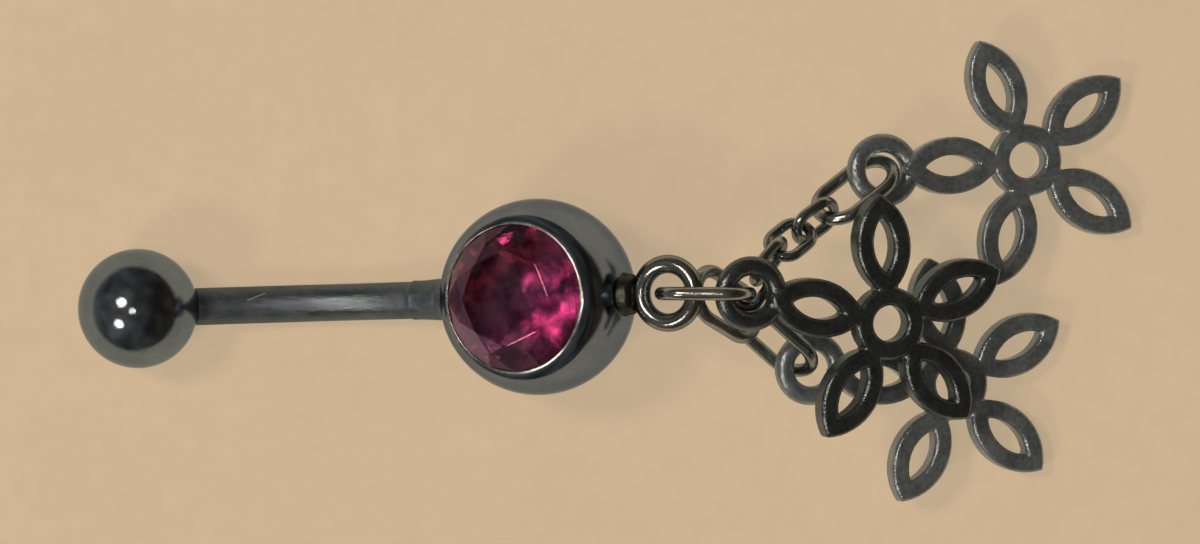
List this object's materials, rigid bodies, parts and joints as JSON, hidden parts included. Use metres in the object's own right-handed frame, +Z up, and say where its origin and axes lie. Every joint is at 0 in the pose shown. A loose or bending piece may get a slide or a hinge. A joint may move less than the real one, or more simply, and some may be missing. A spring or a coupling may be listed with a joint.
{
  "type": "navel ring",
  "caption": "Curved barbell navel ring with a screw-on ball, a faceted stone in a round cup, and openwork flower charms that hang on jump rings and a short chain.",
  "frame": {"origin": "middle of the part's outline, on the surface that it lies on", "axes": "+X from the end ball towards the charms, +Y towards the upper charm, +Z up from the surface"},
  "size_m": [0.0442, 0.0193, 0.0083],
  "materials": {
    "bar_steel": "polished dark plating over surgical steel",
    "ball_steel": "polished dark plating over surgical steel",
    "ring_steel": "polished dark plating on round steel wire",
    "charm_metal": "dark plated casting with soft edges",
    "gem": "faceted foil-backed glass, deep pink"
  },
  "bodies": {
    "ring": {"barbell": "bar_steel", "gem": "gem", "jump_ring_main": "ring_steel", "chain_link_1": "ring_steel", "chain_link_2": "ring_steel", "chain_link_3": "ring_steel", "chain_link_4": "ring_steel", "jump_ring_upper": "ring_steel", "jump_ring_lower_1": "ring_steel", "jump_ring_lower_2": "ring_steel", "charm_middle": "charm_metal", "charm_upper": "charm_metal", "charm_lower": "charm_metal"},
    "ball": {"end_ball": "ball_steel"}
  },
  "joints": [
    {"name": "ball_unscrew", "type": "slide", "parent": "ring", "child": "ball", "axis": [-0.9365, -0.0278, 0.3495], "range_m": [0, 0.006]}
  ]
}
